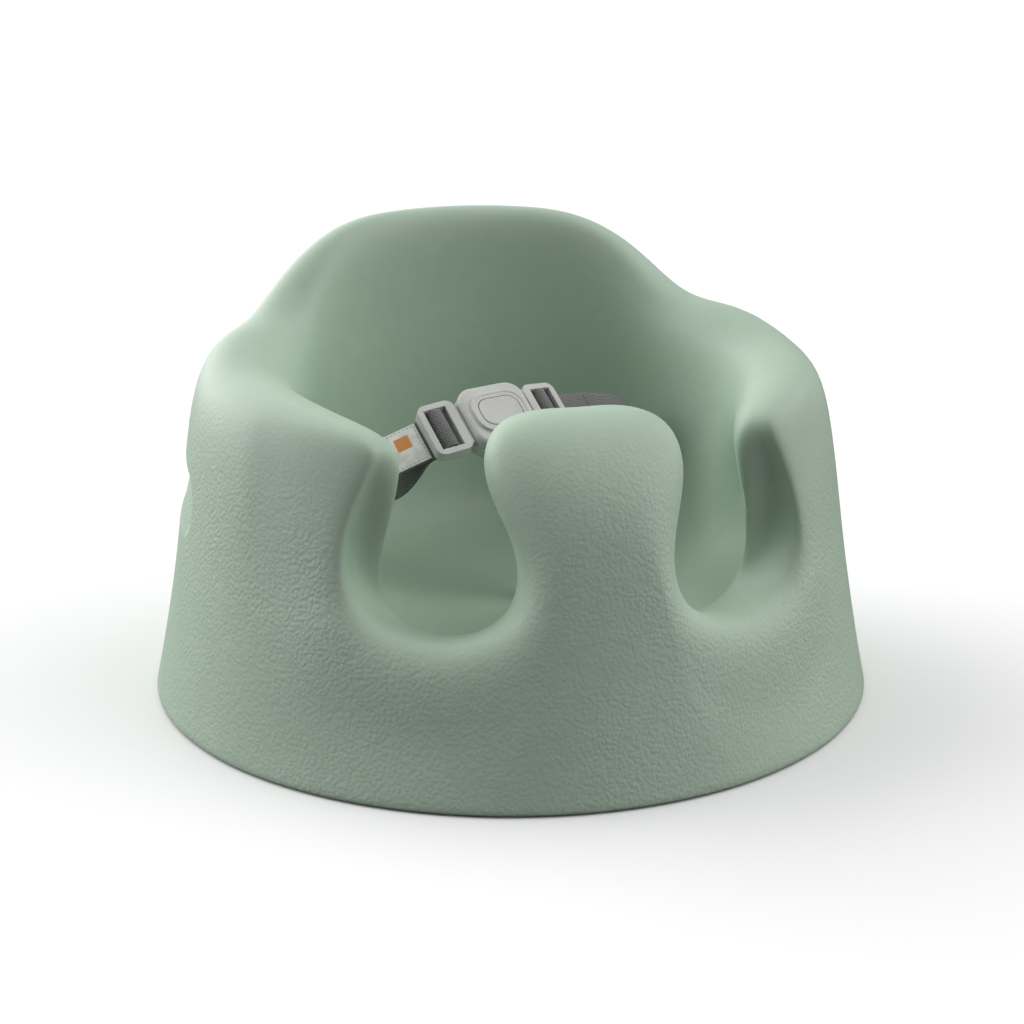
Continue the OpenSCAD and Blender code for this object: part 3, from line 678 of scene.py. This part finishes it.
def waist_route(side, free, drop, droop):
    """The whole route of a waist strap, from the loop round its rod to the end of its tail."""
    loop = [(Vector((side * (ANCHOR_X - x), ANCHOR_Y, z)), Vector((0, 1, 0))) for x, z in anchor_loop]
    rise = [(Vector((side * (ANCHOR_X - PLY), ANCHOR_Y, 60)), Vector((0, 1, 0)))]
    free = [(Vector(p), Vector(d)) for p, d in free]
    return (loop[:-1]
            + smooth_route([loop[-1]] + rise + free + belt_pairs(side, adjuster_load(drop)), 8)
            + belt_pairs(side, arc((bar_x, 0), wrap_r, 215, -20, 12))
            + smooth_route(belt_pairs(side, adjuster_tail(droop)), 5))


LEFT_DROP, LEFT_DROOP, RIGHT_DROP, RIGHT_DROOP = 62, 19, 0, 0  # degrees
free_left = [((-(ANCHOR_X - 1.5), ANCHOR_Y - 2, 80), (0, 1, 0)),
             ((-(ANCHOR_X - 6), ANCHOR_Y - 13, 94), (0, 1, 0.2)),
             ((-(ANCHOR_X - 13), ANCHOR_Y - 31, 105), (-0.1, 0.9, 0.4)),
             ((-65, -18, 115.5), (-0.2, 0.75, 0.6))]
free_right = [((ANCHOR_X - 1.5, ANCHOR_Y - 1, 80), (0, 1, 0)),
              ((ANCHOR_X - 3, ANCHOR_Y - 4, 103), (0, 1, 0.1)),
              ((ANCHOR_X - 9, ANCHOR_Y - 13, 123), (-0.1, 0.9, 0.35)),
              ((70, 13, 133.3), (-0.1, 0.85, 0.42)), ((56, 7, 137.5), (-0.1, 0.8, 0.5))]
left_route = waist_route(-1, free_left, LEFT_DROP, LEFT_DROOP)
right_route = waist_route(1, free_right, RIGHT_DROP, RIGHT_DROOP)
print("waist routes:", len(left_route), "and", len(right_route), "points")

# %% [markdown]
# The crotch strap rises from the front of the seat and is sewn in a loop round the ring of the buckle.

# %% Route of the crotch strap
RING_BAR_D, RING_Y, RING_Z, HANG = 3.2, -(BLOCK_H / 2 + 6), -5.2, 203
ring_r = RING_BAR_D / 2 + WEB_T / 2 + 0.15
hang_along = Vector((cos_deg(HANG), sin_deg(HANG)))
hang_side = Vector((-sin_deg(HANG), cos_deg(HANG)))
ring_middle = Vector((RING_Y, RING_Z))
ring_loop = ([ring_middle + hang_along * 15 - hang_side * PLY,
              ring_middle + hang_along * 6 - hang_side * (PLY + 0.3)]
             + arc(ring_middle, ring_r, HANG + 282, HANG + 78, 10)
             + [ring_middle + hang_along * 6 + hang_side * (PLY + 0.3),
                ring_middle + hang_along * 15 + hang_side * PLY])
ring_pairs = [(buckle_point(0, y, z), buckle_dir(1, 0, 0)) for y, z in ring_loop]
crotch_foot = [(Vector((0, -(CROTCH_Y - x), z)), Vector((1, 0, 0))) for x, z in anchor_loop]
crotch_rise = [(Vector((0, -(CROTCH_Y - PLY), 52)), Vector((1, 0, 0))),
               (Vector((0, -58, 76)), Vector((1, 0, 0))), (Vector((-2, -50, 98)), Vector((1, 0, 0)))]
crotch_route = (crotch_foot[:-1]
                + smooth_route([crotch_foot[-1]] + crotch_rise + [ring_pairs[-1]], 8)
                + ring_pairs[-2::-1])
print("crotch route:", len(crotch_route), "points")

# %% [markdown]
# The ribbon's section is a flat bar with round edges, because woven webbing has a rolled selvedge.

# %% Sweep the ribbons
def ribbon_section(width, thick):
    """Points round the section: across the width, and out of its face."""
    r = 0.42 * thick
    corners = [(1, -1, -90), (1, 1, 0), (-1, 1, 90), (-1, -1, 180)]
    return [(sx * (width / 2 - r) + r * cos_deg(start + turn),
             sy * (thick / 2 - r) + r * sin_deg(start + turn))
            for sx, sy, start in corners for turn in (0, 30, 60, 90)]


def route_frames(route):
    """For each point of a route: the point, the width direction, the way out of the face, the run so far."""
    frames, run = [], 0.0
    for i, (point, wide) in enumerate(route):
        ahead = (route[min(i + 1, len(route) - 1)][0] - route[max(i - 1, 0)][0]).normalized()
        across = (wide - ahead * wide.dot(ahead)).normalized()
        if i:
            run += (point - route[i - 1][0]).length
        frames.append((point, across, ahead.cross(across), run))
    return frames


def ribbon(name, route, width, thick):
    section = ribbon_section(width, thick)
    frames = route_frames(route)
    rings = [[point + across * a + out * b for a, b in section] for point, across, out, run in frames]
    marks = {"along": lambda row, i: frames[row][3], "across": lambda row, i: section[i][0]}
    return put_in_scene(skin(rings, marks), name)


waist_left = ribbon("waist_webbing_left", left_route, WEB_W, WEB_T)
waist_right = ribbon("waist_webbing_right", right_route, WEB_W, WEB_T)
crotch = ribbon("crotch_webbing", crotch_route, CROTCH_WEB_W, WEB_T)
for strap in (waist_left, waist_right, crotch):
    strap.data.set_sharp_from_angle(angle=math.radians(50))
    print(size_line(strap))

# %% Let the straps follow
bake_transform(waist_left)
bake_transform(waist_right)
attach(crotch, "seat")
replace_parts(waist_left, "waist_strap_left")
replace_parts(waist_right, "waist_strap_right")
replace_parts(crotch, "crotch_strap")

# %% [markdown]
# The weave is drawn from the two attributes: ridges of warp yarn run along the strap, and each one
# dips under and over in turn with the next. It is used as a bump. It also darkens the grooves between
# the yarns and the dips, which is painted shade, and a fine noise adds the yarn's own random tone.

# %% Webbing material
WARP_PITCH, WEFT_PITCH = 1.15, 1.5
web, shader, wire = new_material("webbing")
column = wire.mark("across") * (1 / WARP_PITCH)
odd = wire.math("MODULO", wire.math("FLOOR", column) + 40.0, 2.0)  # 40 keeps the columns above 0
dip = ((wire.mark("along") * (1 / WEFT_PITCH) + 0.5 * odd) * math.pi).waves()
yarn = (column * math.pi).waves() * (0.45 + 0.55 * dip)
fuzz = wire.noise(700.0, 3.0)
# painted shade: the tone follows the weave's height, darker in its grooves and dips; fuzz is the yarn's
# random tone
tone = (0.75 * yarn + 0.25 * fuzz).ease(0.0, 1.0)
plug(shader, Base_Color=tone.mix(srgb(58, 58, 60), srgb(130, 130, 130)), Roughness=0.72 + 0.12 * fuzz,
     Normal=wire.bump(yarn + 0.25 * fuzz, 0.8, 0.0003), Sheen_Weight=0.4, Sheen_Roughness=0.5)
for strap in (waist_left, waist_right, crotch):
    strap.data.materials.append(web)

# %% [markdown]
# ## The buckle
# The buckle block is two moulded shells with a big oval button between them, framed by a thin
# raised rim. The front shell is drawn as rings again, from the parting line up the outside, over the
# rounded edge, across the face, up and over the rim and down the well: all rings have the same
# number of points, so a rounded square turns into an oval on the way.

# %% Outlines of the buckle parts
def outline(width, height, corner, z, inset=0.0, steps=8):
    """A rounded rectangle in the buckle's frame, or an oval where the corner is half the height."""
    w, h, r = width / 2 - inset, height / 2 - inset, corner - inset
    points = []
    for sx, sy, start in ((1, 1, 0), (-1, 1, 90), (-1, -1, 180), (1, -1, 270)):
        for k in range(steps + 1):
            angle = start + 90 * k / steps
            x, y = sx * (w - r) + r * cos_deg(angle), sy * (h - r) + r * sin_deg(angle)
            points.append(buckle_point(x, y, z))
    return points


def rounding(radius, steps):
    """Inset and drop of a rounded edge, from its side to its top."""
    return [(radius * (1 - cos_deg(90 * k / steps)), radius * (sin_deg(90 * k / steps) - 1))
            for k in range(steps + 1)]


def oval(extra, z):
    """An outline round the button, that much wider all round: a rounded oblong, not quite an oval."""
    return outline(BUTTON_W + 2 * extra, BUTTON_H + 2 * extra, OBLONG * (BUTTON_H + 2 * extra), z)


# %% Front shell
OBLONG = 0.38  # corner radius of the button as a share of its height
FACE_Z, RIM_Z, EDGE_R, RIM_W, RIM_R = FRONT_T - 0.9, FRONT_T + 0.8, 2.2, 3.4, 0.35
FLANGE_T, FLANGE_OVER = 1.2, 1.2
flange_z = PARTING + BUTTON_TRAVEL + SLIDE_GAP
well_top = flange_z + FLANGE_T + SLIDE_GAP
rings = [outline(BLOCK_W, BLOCK_H, BLOCK_CORNER, PARTING, 0.25),
         outline(BLOCK_W, BLOCK_H, BLOCK_CORNER, PARTING + 0.25)]
rings += [outline(BLOCK_W, BLOCK_H, BLOCK_CORNER, FACE_Z + drop, inset)
          for inset, drop in rounding(EDGE_R, 6)]
rings += [oval(RIM_W + 0.5, FACE_Z), oval(RIM_W + 0.1, FACE_Z + 0.05), oval(RIM_W, FACE_Z + 0.2)]
rings += [oval(RIM_W - inset, RIM_Z + drop) for inset, drop in rounding(RIM_R, 3)]
rings += [oval(RIM_W - 1.1, RIM_Z), oval(RIM_W - 1.3, RIM_Z - 0.1), oval(RIM_W - 1.4, RIM_Z - 0.3)]
rings += [oval(0.25 - inset, RIM_Z - 0.35 + drop) for inset, drop in rounding(0.25, 3)[::-1]]
rings += [oval(0, well_top), oval(FLANGE_OVER + SLIDE_GAP, well_top), oval(FLANGE_OVER + SLIDE_GAP, PARTING)]
front_shell = put_in_scene(skin(rings, torus=True), "buckle_front")
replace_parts(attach(front_shell, "seat"), "buckle_front_shell")
print(size_line(front_shell))

# %% [markdown]
# The button is drawn from the middle of its slightly dished top outwards and down: the pad, its
# rounded edge, the flange that holds it in the shell, the collar and the stem inside the spring.

# %% Press button
BUTTON_TOP, STEM_D, COLLAR_D, SPRING_FLOOR = FRONT_T + 0.7, 3.4, 7, 1.4 - REAR_T


def disc(diameter, z):
    return outline(diameter, diameter, diameter / 2, z)


DISH, DISH_REACH = 0.35, 8


def dish_drop(extra):
    """How far the pad lies under its rim. extra is below 0 inside the button's edge."""
    return DISH * (1 - (1 + extra / DISH_REACH) ** 2)


rings = [outline(BUTTON_W - 2 * DISH_REACH + 2, 2.4, 1.2, BUTTON_TOP - DISH)]
rings += [oval(extra, BUTTON_TOP - dish_drop(extra)) for extra in (-6.5, -5, -3.5, -2.2, -1.4)]
rings += [oval(-SLIDE_GAP - inset, BUTTON_TOP + drop) for inset, drop in rounding(0.5, 4)[::-1]]
rings += [oval(-SLIDE_GAP, flange_z + FLANGE_T), oval(FLANGE_OVER, flange_z + FLANGE_T),
          oval(FLANGE_OVER, flange_z), disc(COLLAR_D, flange_z), disc(COLLAR_D, PARTING),
          disc(STEM_D, PARTING), disc(STEM_D, SPRING_FLOOR + BUTTON_TRAVEL + 0.6)]
button = put_in_scene(skin(rings), "press_button")
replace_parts(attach(button, "button"), "release_button")
for piece in (front_shell, button):
    piece.data.set_sharp_from_angle(angle=math.radians(40))
print(size_line(button))

# %% [markdown]
# The back shell, the two tongues and the rods have the right shape in the CAD already, with sharp
# edges. A moulded part has small radii everywhere, so each is copied, its triangles are merged into
# clean faces, and every sharp edge is bevelled.

# %% Softened copies of CAD pieces
def softened(node, name, radius, segments=3, sharp=30):
    bm = bmesh.new()
    bm.from_mesh(nodes[node].data)
    bmesh.ops.remove_doubles(bm, verts=bm.verts, dist=0.00001)
    bmesh.ops.dissolve_limit(bm, angle_limit=math.radians(1), verts=bm.verts, edges=bm.edges)
    bmesh.ops.recalc_face_normals(bm, faces=bm.faces)
    edges = [edge for edge in bm.edges if edge.is_manifold and edge.calc_face_angle() > math.radians(sharp)]
    bmesh.ops.bevel(bm, geom=edges, affect="EDGES", offset=radius * MM, segments=segments, profile=0.5,
                    material=-1, clamp_overlap=True)
    made = put_in_scene(bm, name)
    made.data.set_sharp_from_angle(angle=math.radians(35))
    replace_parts(made, node)
    print(size_line(made))
    return made


back_shell = softened("buckle_back_shell", "buckle_back", 0.5)
tongue_left = softened("tongue_left", "adjuster_left", 0.6)
tongue_right = softened("tongue_right", "adjuster_right", 0.6)
rods = [softened(node, node.replace("anchor_rod", "rod"), 0.6) for node in
        ("anchor_rod_left", "anchor_rod_right", "anchor_rod_crotch")]
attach(back_shell, "seat")
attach(tongue_left, "left_adjuster")
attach(tongue_right, "right_adjuster")
for rod in rods:
    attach(rod, "seat")

# %% [markdown]
# ### The plastic
# Buckles are moulded in nylon: a light neutral grey, satin, with a fine spark-eroded texture that
# breaks up the highlight. Two noises do it: a very fine one for the texture, a wide one for the grey.

# %% Plastic material
plastic, shader, wire = new_material("buckle_plastic")
speck, cloud = wire.noise(2200.0), wire.noise(60.0, 3.0)
plug(shader, Base_Color=cloud.ease(0.3, 0.7).mix(srgb(194, 194, 191), srgb(203, 203, 200)),
     Roughness=0.38 + 0.14 * speck, Normal=wire.bump(speck, 0.25, 0.0001))
for piece in (front_shell, button, back_shell, tongue_left, tongue_right, *rods):
    piece.data.materials.clear()
    piece.data.materials.append(plastic)

# %% [markdown]
# ## The spring
# The button is held up by a small wire spring.

# %% Spring
WIRE_D, COIL_R, COIL_TURNS, WIRE_SIDES, TURN_STEPS = 0.7, 2.5, 4.5, 8, 16
spring_l = PARTING - SPRING_FLOOR
coil_pitch = (spring_l - WIRE_D - 0.1) / COIL_TURNS
rings = []
for i in range(int(COIL_TURNS * TURN_STEPS) + 1):
    angle = 360 * i / TURN_STEPS
    rise_z = SPRING_FLOOR + 0.05 + WIRE_D / 2 + coil_pitch * i / TURN_STEPS
    rings.append([buckle_point((COIL_R + WIRE_D / 2 * cos_deg(turn)) * cos_deg(angle),
                               (COIL_R + WIRE_D / 2 * cos_deg(turn)) * sin_deg(angle),
                               rise_z + WIRE_D / 2 * sin_deg(turn))
                  for turn in range(0, 360, 360 // WIRE_SIDES)])
spring = put_in_scene(skin(rings), "button_coil")
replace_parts(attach(spring, "seat"), "button_spring")
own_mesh(spring)
steel, shader, wire = new_material("spring_steel")
streak = wire.noise(900.0)
plug(shader, Base_Color=streak.mix(srgb(175, 176, 178), srgb(205, 206, 208)), Metallic=1.0,
     Roughness=0.25 + 0.15 * streak)
spring.data.materials.append(steel)
print(size_line(spring))

# %% [markdown]
# ## The sewn patch
# A small white patch of coated cloth is sewn flat on the tail that hangs out of the left adjuster.
# It is bare apart from a plain block of orange. It is a ribbon too, laid on the tail's own face.

# %% Patch
patch_start = leaned(tail_from, tail_z - 0.3)
tilt = LEFT_DROOP + FRAME_LEAN


def on_tail(run, lift):
    """A point on the left tail: that far out along it, and above its middle."""
    return (-(patch_start[0] + run * cos_deg(tilt) + lift * sin_deg(tilt)),
            patch_start[1] - run * sin_deg(tilt) + lift * cos_deg(tilt))


patch_lift = WEB_T / 2 + 0.05 + PATCH_T / 2
patch_route = []
for run in (PATCH_GAP, PATCH_GAP + 0.4, 5, 10, 15, PATCH_GAP + PATCH_L - 0.4, PATCH_GAP + PATCH_L):
    x, z = on_tail(run, patch_lift)
    patch_route.append((buckle_point(x, 0, z), buckle_dir(0, 1, 0)))
patch = ribbon("sewn_label", patch_route, WEB_W - 1, PATCH_T)
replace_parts(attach(patch, "left_adjuster"), "sewn_patch")
print(size_line(patch))

# %% Patch material
PATCH_YARN = 12.0  # the weave's wave, in radians for each millimetre
BLOCK_ALONG, BLOCK_ACROSS, BLOCK_BLUR = (5.6, 13.5), (-1.0, 6.5), 0.3
cloth, shader, wire = new_material("patch_cloth")
run, side_step = wire.mark("along"), wire.mark("across")


def between(value, limits):
    """1 where the value is between two limits and 0 outside them."""
    low, high = limits
    return value.ease(low, low + BLOCK_BLUR) * (1 - value.ease(high, high + BLOCK_BLUR))


weave = (run * PATCH_YARN).waves() * (side_step * PATCH_YARN).waves()
crease = wire.noise(170.0, 3.0)
# painted shade: the crease noise that raises the cloth also lightens it, so the hollows of the creases are
# darker
plain = crease.ease(0.35, 0.65).mix(srgb(226, 225, 222), srgb(246, 245, 242))
block = between(run, BLOCK_ALONG) * between(side_step, BLOCK_ACROSS)
plug(shader, Base_Color=block.mix(plain, srgb(224, 148, 70)), Roughness=0.5 + 0.1 * weave,
     Normal=wire.bump(0.25 * weave + crease, 0.5, 0.0006))
patch.data.materials.append(cloth)

# %% [markdown]
# ## Thread
# The seams are real stitches: small bars of thread that lie on the cloth, each a stretched ball half
# sunk in it. A row of them closes each hem and the loop under the buckle, and a frame holds the patch.

# %% Stitches
STITCH_L, STITCH_W, STITCH_H, STITCH_PITCH = 1.7, 0.5, 0.35, 2.3
HEM_SEAMS, LOOP_SEAMS, SEAM_MARGIN = (2.5, 5), (1.5, 5, 8.5), 1.5  # back from the strap's end, in millimetres
PATCH_SEAM_FROM, PATCH_SEAM_TO, PATCH_SEAM_MARGIN = 1.2, PATCH_L - 1, 1.2


def stitch(bm, centre, along, out):
    """One stitch: a small ball stretched along the seam and flat on the cloth."""
    across = out.cross(along)
    turned = Matrix((along, across, out)).transposed().to_4x4()
    size = Matrix.Diagonal((STITCH_L / 2 * MM, STITCH_W / 2 * MM, STITCH_H / 2 * MM, 1))
    bmesh.ops.create_icosphere(bm, subdivisions=2, radius=1,
                               matrix=Matrix.Translation(centre * MM) @ turned @ size)


def seam(bm, start, end, out):
    """A straight row of stitches from one point to another."""
    count = max(round((end - start).length / STITCH_PITCH), 1)
    along = (end - start).normalized()
    for i in range(count):
        stitch(bm, start.lerp(end, (i + 0.5) / count), along, out)


def across_strap(bm, route, back, width, facing):
    """A seam across a strap, that far back from the route's end, on the face that looks that way."""
    frames = route_frames(route)
    run = frames[-1][3] - back
    point, across, out, _ = min(frames, key=lambda frame: abs(frame[3] - run))
    if out.dot(facing) < 0:
        out = -out
    middle = point + out * (WEB_T / 2)
    reach = across * (width / 2 - SEAM_MARGIN)
    seam(bm, middle - reach, middle + reach, out)


def thread_material(name, dark, light):
    """Twisted yarn: its tone and gloss change from fibre to fibre."""
    material, shader, wire = new_material(name)
    twisted = wire.noise(2500.0)
    plug(shader, Base_Color=twisted.mix(dark, light), Roughness=0.7 + 0.1 * twisted)
    return material


thread = thread_material("thread", srgb(150, 150, 148), srgb(210, 208, 203))
black_thread = thread_material("black_thread", srgb(40, 40, 42), srgb(95, 95, 97))

# %% Sew the seams
def sewn(bm, name, material, body):
    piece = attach(put_in_scene(bm, name), body)
    piece.data.materials.append(material)
    print(size_line(piece))


face_out = buckle_dir(0, 0, 1)
corners = []
for run, side in ((PATCH_SEAM_FROM, 1), (PATCH_SEAM_TO, 1), (PATCH_SEAM_TO, -1), (PATCH_SEAM_FROM, -1)):
    x, z = on_tail(run, patch_lift + PATCH_T / 2)
    corners.append(buckle_point(x, side * ((WEB_W - 1) / 2 - PATCH_SEAM_MARGIN), z))
patch_out = (corners[1] - corners[0]).cross(corners[2] - corners[1]).normalized()
if patch_out.dot(face_out) < 0:
    patch_out = -patch_out
bm = bmesh.new()
for i in range(4):
    seam(bm, corners[i - 1], corners[i], patch_out)
sewn(bm, "label_thread", thread, "left_adjuster")
for side, route in (("right", right_route), ("left", left_route)):
    bm = bmesh.new()
    for back in HEM_SEAMS:
        across_strap(bm, route, back, WEB_W, face_out)
    sewn(bm, "hem_thread_" + side, black_thread, side + "_adjuster")
bm = bmesh.new()
for back in LOOP_SEAMS:
    across_strap(bm, crotch_route, back, CROTCH_WEB_W, buckle_dir(0, -hang_side.x, -hang_side.y))
sewn(bm, "loop_thread", black_thread, "seat")

# %% [markdown]
# ## Floor and light
# The photograph is a cut-out on white. The floor is a plain white disc that still takes the seat's
# shadow, and the world is the same white where the camera looks past its edge. The light comes from a
# few wide soft patches of sky, left, behind and right, at a level where a colour renders about as
# written. The front of the tub gets the least of it, so its pebble and its round edges show.

# %% Floor
FLOOR_R, FLOOR_DROP = 30, 0.0002  # metres
bm = bmesh.new()
bmesh.ops.create_circle(bm, cap_ends=True, segments=96, radius=FLOOR_R)
floor = put_in_scene(bm, "floor")
floor.location.z = -FLOOR_DROP
paper, shader, wire = new_material("white_floor")
seen = wire.node("ShaderNodeLightPath", output="Is Camera Ray")
plug(shader, Base_Color=seen.mix(srgb(45, 45, 45), srgb(250, 250, 250)), Roughness=0.9,
     Specular_IOR_Level=0.0)
floor.data.materials.append(paper)

# %% Light
world = bpy.data.worlds.new("studio")
bpy.context.scene.world = world
world.use_nodes = True
wire = Wire(world.node_tree)
seen = wire.node("ShaderNodeLightPath", output="Is Camera Ray")
world.node_tree.nodes["Background"].inputs["Color"].default_value = (1, 1, 1, 1)
heading = wire.node("ShaderNodeTexCoord", output="Generated")
right, back, up = (wire.node("ShaderNodeSeparateXYZ", {}, {0: heading}, axis) for axis in "XYZ")


def soft_box(strength, turn, rise):
    """A wide soft patch of sky. turn is from the front, to the right."""
    aim = Vector((sin_deg(turn) * cos_deg(rise), -cos_deg(turn) * cos_deg(rise), sin_deg(rise)))
    return strength * (aim.x * right + aim.y * back + aim.z * up).ease(0.4, 1.0)


dome = (0.05 + soft_box(2.1, -150, 5) + soft_box(2.2, -115, 5) + soft_box(0.9, 75, 5)
        + soft_box(1.1, 75, 40) + 0.3 * up.ease(0.6, 1.0))
sky = dome * (1 - seen) + seen
world.node_tree.links.new(sky.socket, world.node_tree.nodes["Background"].inputs["Strength"])
bpy.context.scene.view_settings.view_transform = "Standard"

# %% Update the scene
bpy.context.view_layer.update()
